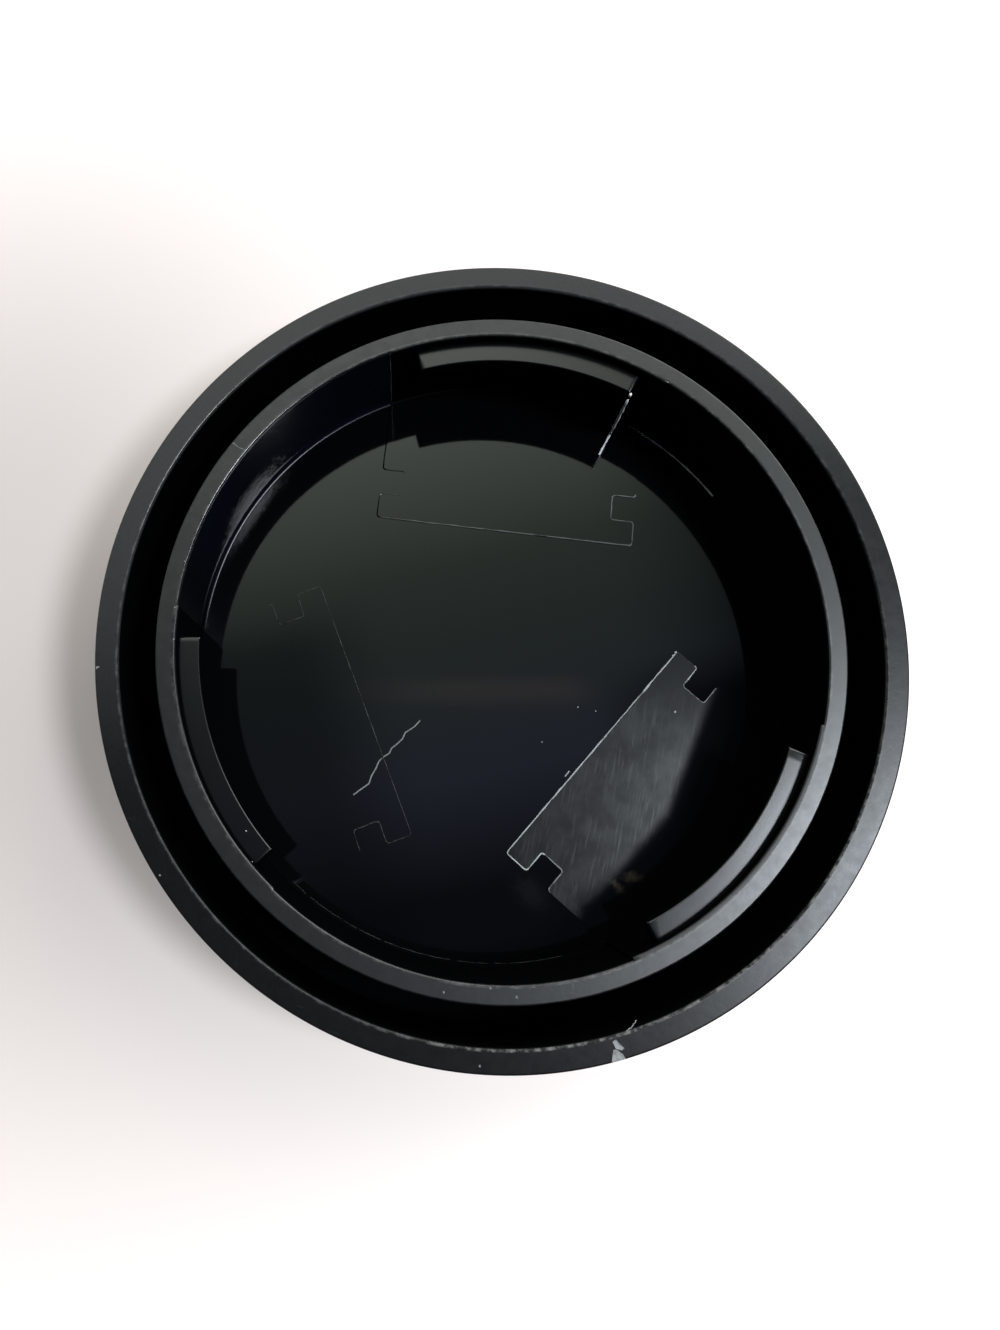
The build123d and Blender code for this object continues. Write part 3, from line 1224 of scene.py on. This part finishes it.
        off_middle = w.apart(right_turned, self.CEILING_MIDDLE)
        corner = w.times(w.ramp(right_turned, *self.CORNER), w.ramp(up_turned, *self.CORNER_ABOVE))
        share = w.plus(w.ramp(off_middle, *self.OFF_MIDDLE), w.ramp(off_middle, *self.FAR_SIDES), corner)
        left = w.mix(w.ramp(up_turned, *self.LEFT_BELOW), w.ramp(right_turned, *self.LEFT), 1.0)
        low_right = w.mix(
            w.ramp(up_turned, *self.LOW_RIGHT_BELOW), w.ramp(right_turned, *self.LOW_RIGHT), 1.0)
        ceiling = w.scaled(ramp.outputs["Color"], w.times(share, w.times(left, low_right)))
        band = w.times(
            w.ramp(w.apart(upwards, self.BAND_LEAN), *self.BAND_EDGE),
            w.ramp(right_turned, *self.BAND_LEFT), w.ramp(right_turned, *self.BAND_RIGHT))
        ceiling = w.vector("ADD", ceiling, w.scaled(self.WARM_BAND, band))
        seen = w.add("ShaderNodeLightPath").outputs["Is Camera Ray"]
        w.feed(shader.inputs["Color"], w.blend(seen, ceiling, self.BACKDROP))

    def lamp(self, name, direction, elevation, distance, half_angle, share, tint):
        heading = radians(direction) - PICTURE_TURN
        rise = sin(radians(elevation))
        away = polar(cos(radians(elevation)), heading, rise) * distance
        light = bpy.data.lights.new(name, "AREA")
        light.shape = "DISK"
        light.size = 2 * distance * tan(radians(half_angle))
        light.energy = share * (pi * distance) ** 2 / rise
        light.color = tint
        lamp = bpy.data.objects.new(name, light)
        lamp.location = away + UP * HEIGHT
        lamp.rotation_euler = (-away).to_track_quat("-Z", "Y").to_euler()
        bpy.context.collection.objects.link(lamp)

    def camera(self, scene):
        camera = bpy.data.objects.new("camera", bpy.data.cameras.new("camera"))
        camera.location = self.CAMERA_PLACE
        camera.rotation_euler = self.CAMERA_TURN
        camera.data.lens = self.CAMERA_LENS
        camera.data.shift_x, camera.data.shift_y = self.CAMERA_SHIFT
        camera.data.clip_start = MM
        bpy.context.collection.objects.link(camera)
        scene.camera = camera


class CAP_PT_sidebar(bpy.types.Panel):
    """Buttons and sizes of the lens cap"""

    bl_label = "Lens Cap"
    bl_space_type = "VIEW_3D"
    bl_region_type = "UI"
    bl_category = "Lens Cap"

    def draw(self, context):
        for operator in OPERATORS:
            self.layout.operator(operator.bl_idname)
        for group in (context.scene.cap_sizes, context.scene.cap_colours):
            column = self.layout.column()
            for name in group.__annotations__:
                column.prop(group, name)


OPERATORS = (CAP_OT_moulding, CAP_OT_flash, CAP_OT_burr, CAP_OT_stage)
CLASSES = (CapSizes, CapColours, *OPERATORS, CAP_PT_sidebar)


def register():
    for item in CLASSES:
        bpy.utils.register_class(item)
    bpy.types.Scene.cap_sizes = PointerProperty(type=CapSizes)
    bpy.types.Scene.cap_colours = PointerProperty(type=CapColours)


def unregister():
    del bpy.types.Scene.cap_colours
    del bpy.types.Scene.cap_sizes
    for item in reversed(CLASSES):
        bpy.utils.unregister_class(item)


def main():
    """Models the cap and its stage."""
    register()
    bpy.ops.lens_cap.moulding()
    bpy.ops.lens_cap.flash()
    bpy.ops.lens_cap.burr()
    bpy.ops.lens_cap.stage()


if __name__ == "__main__":
    main()
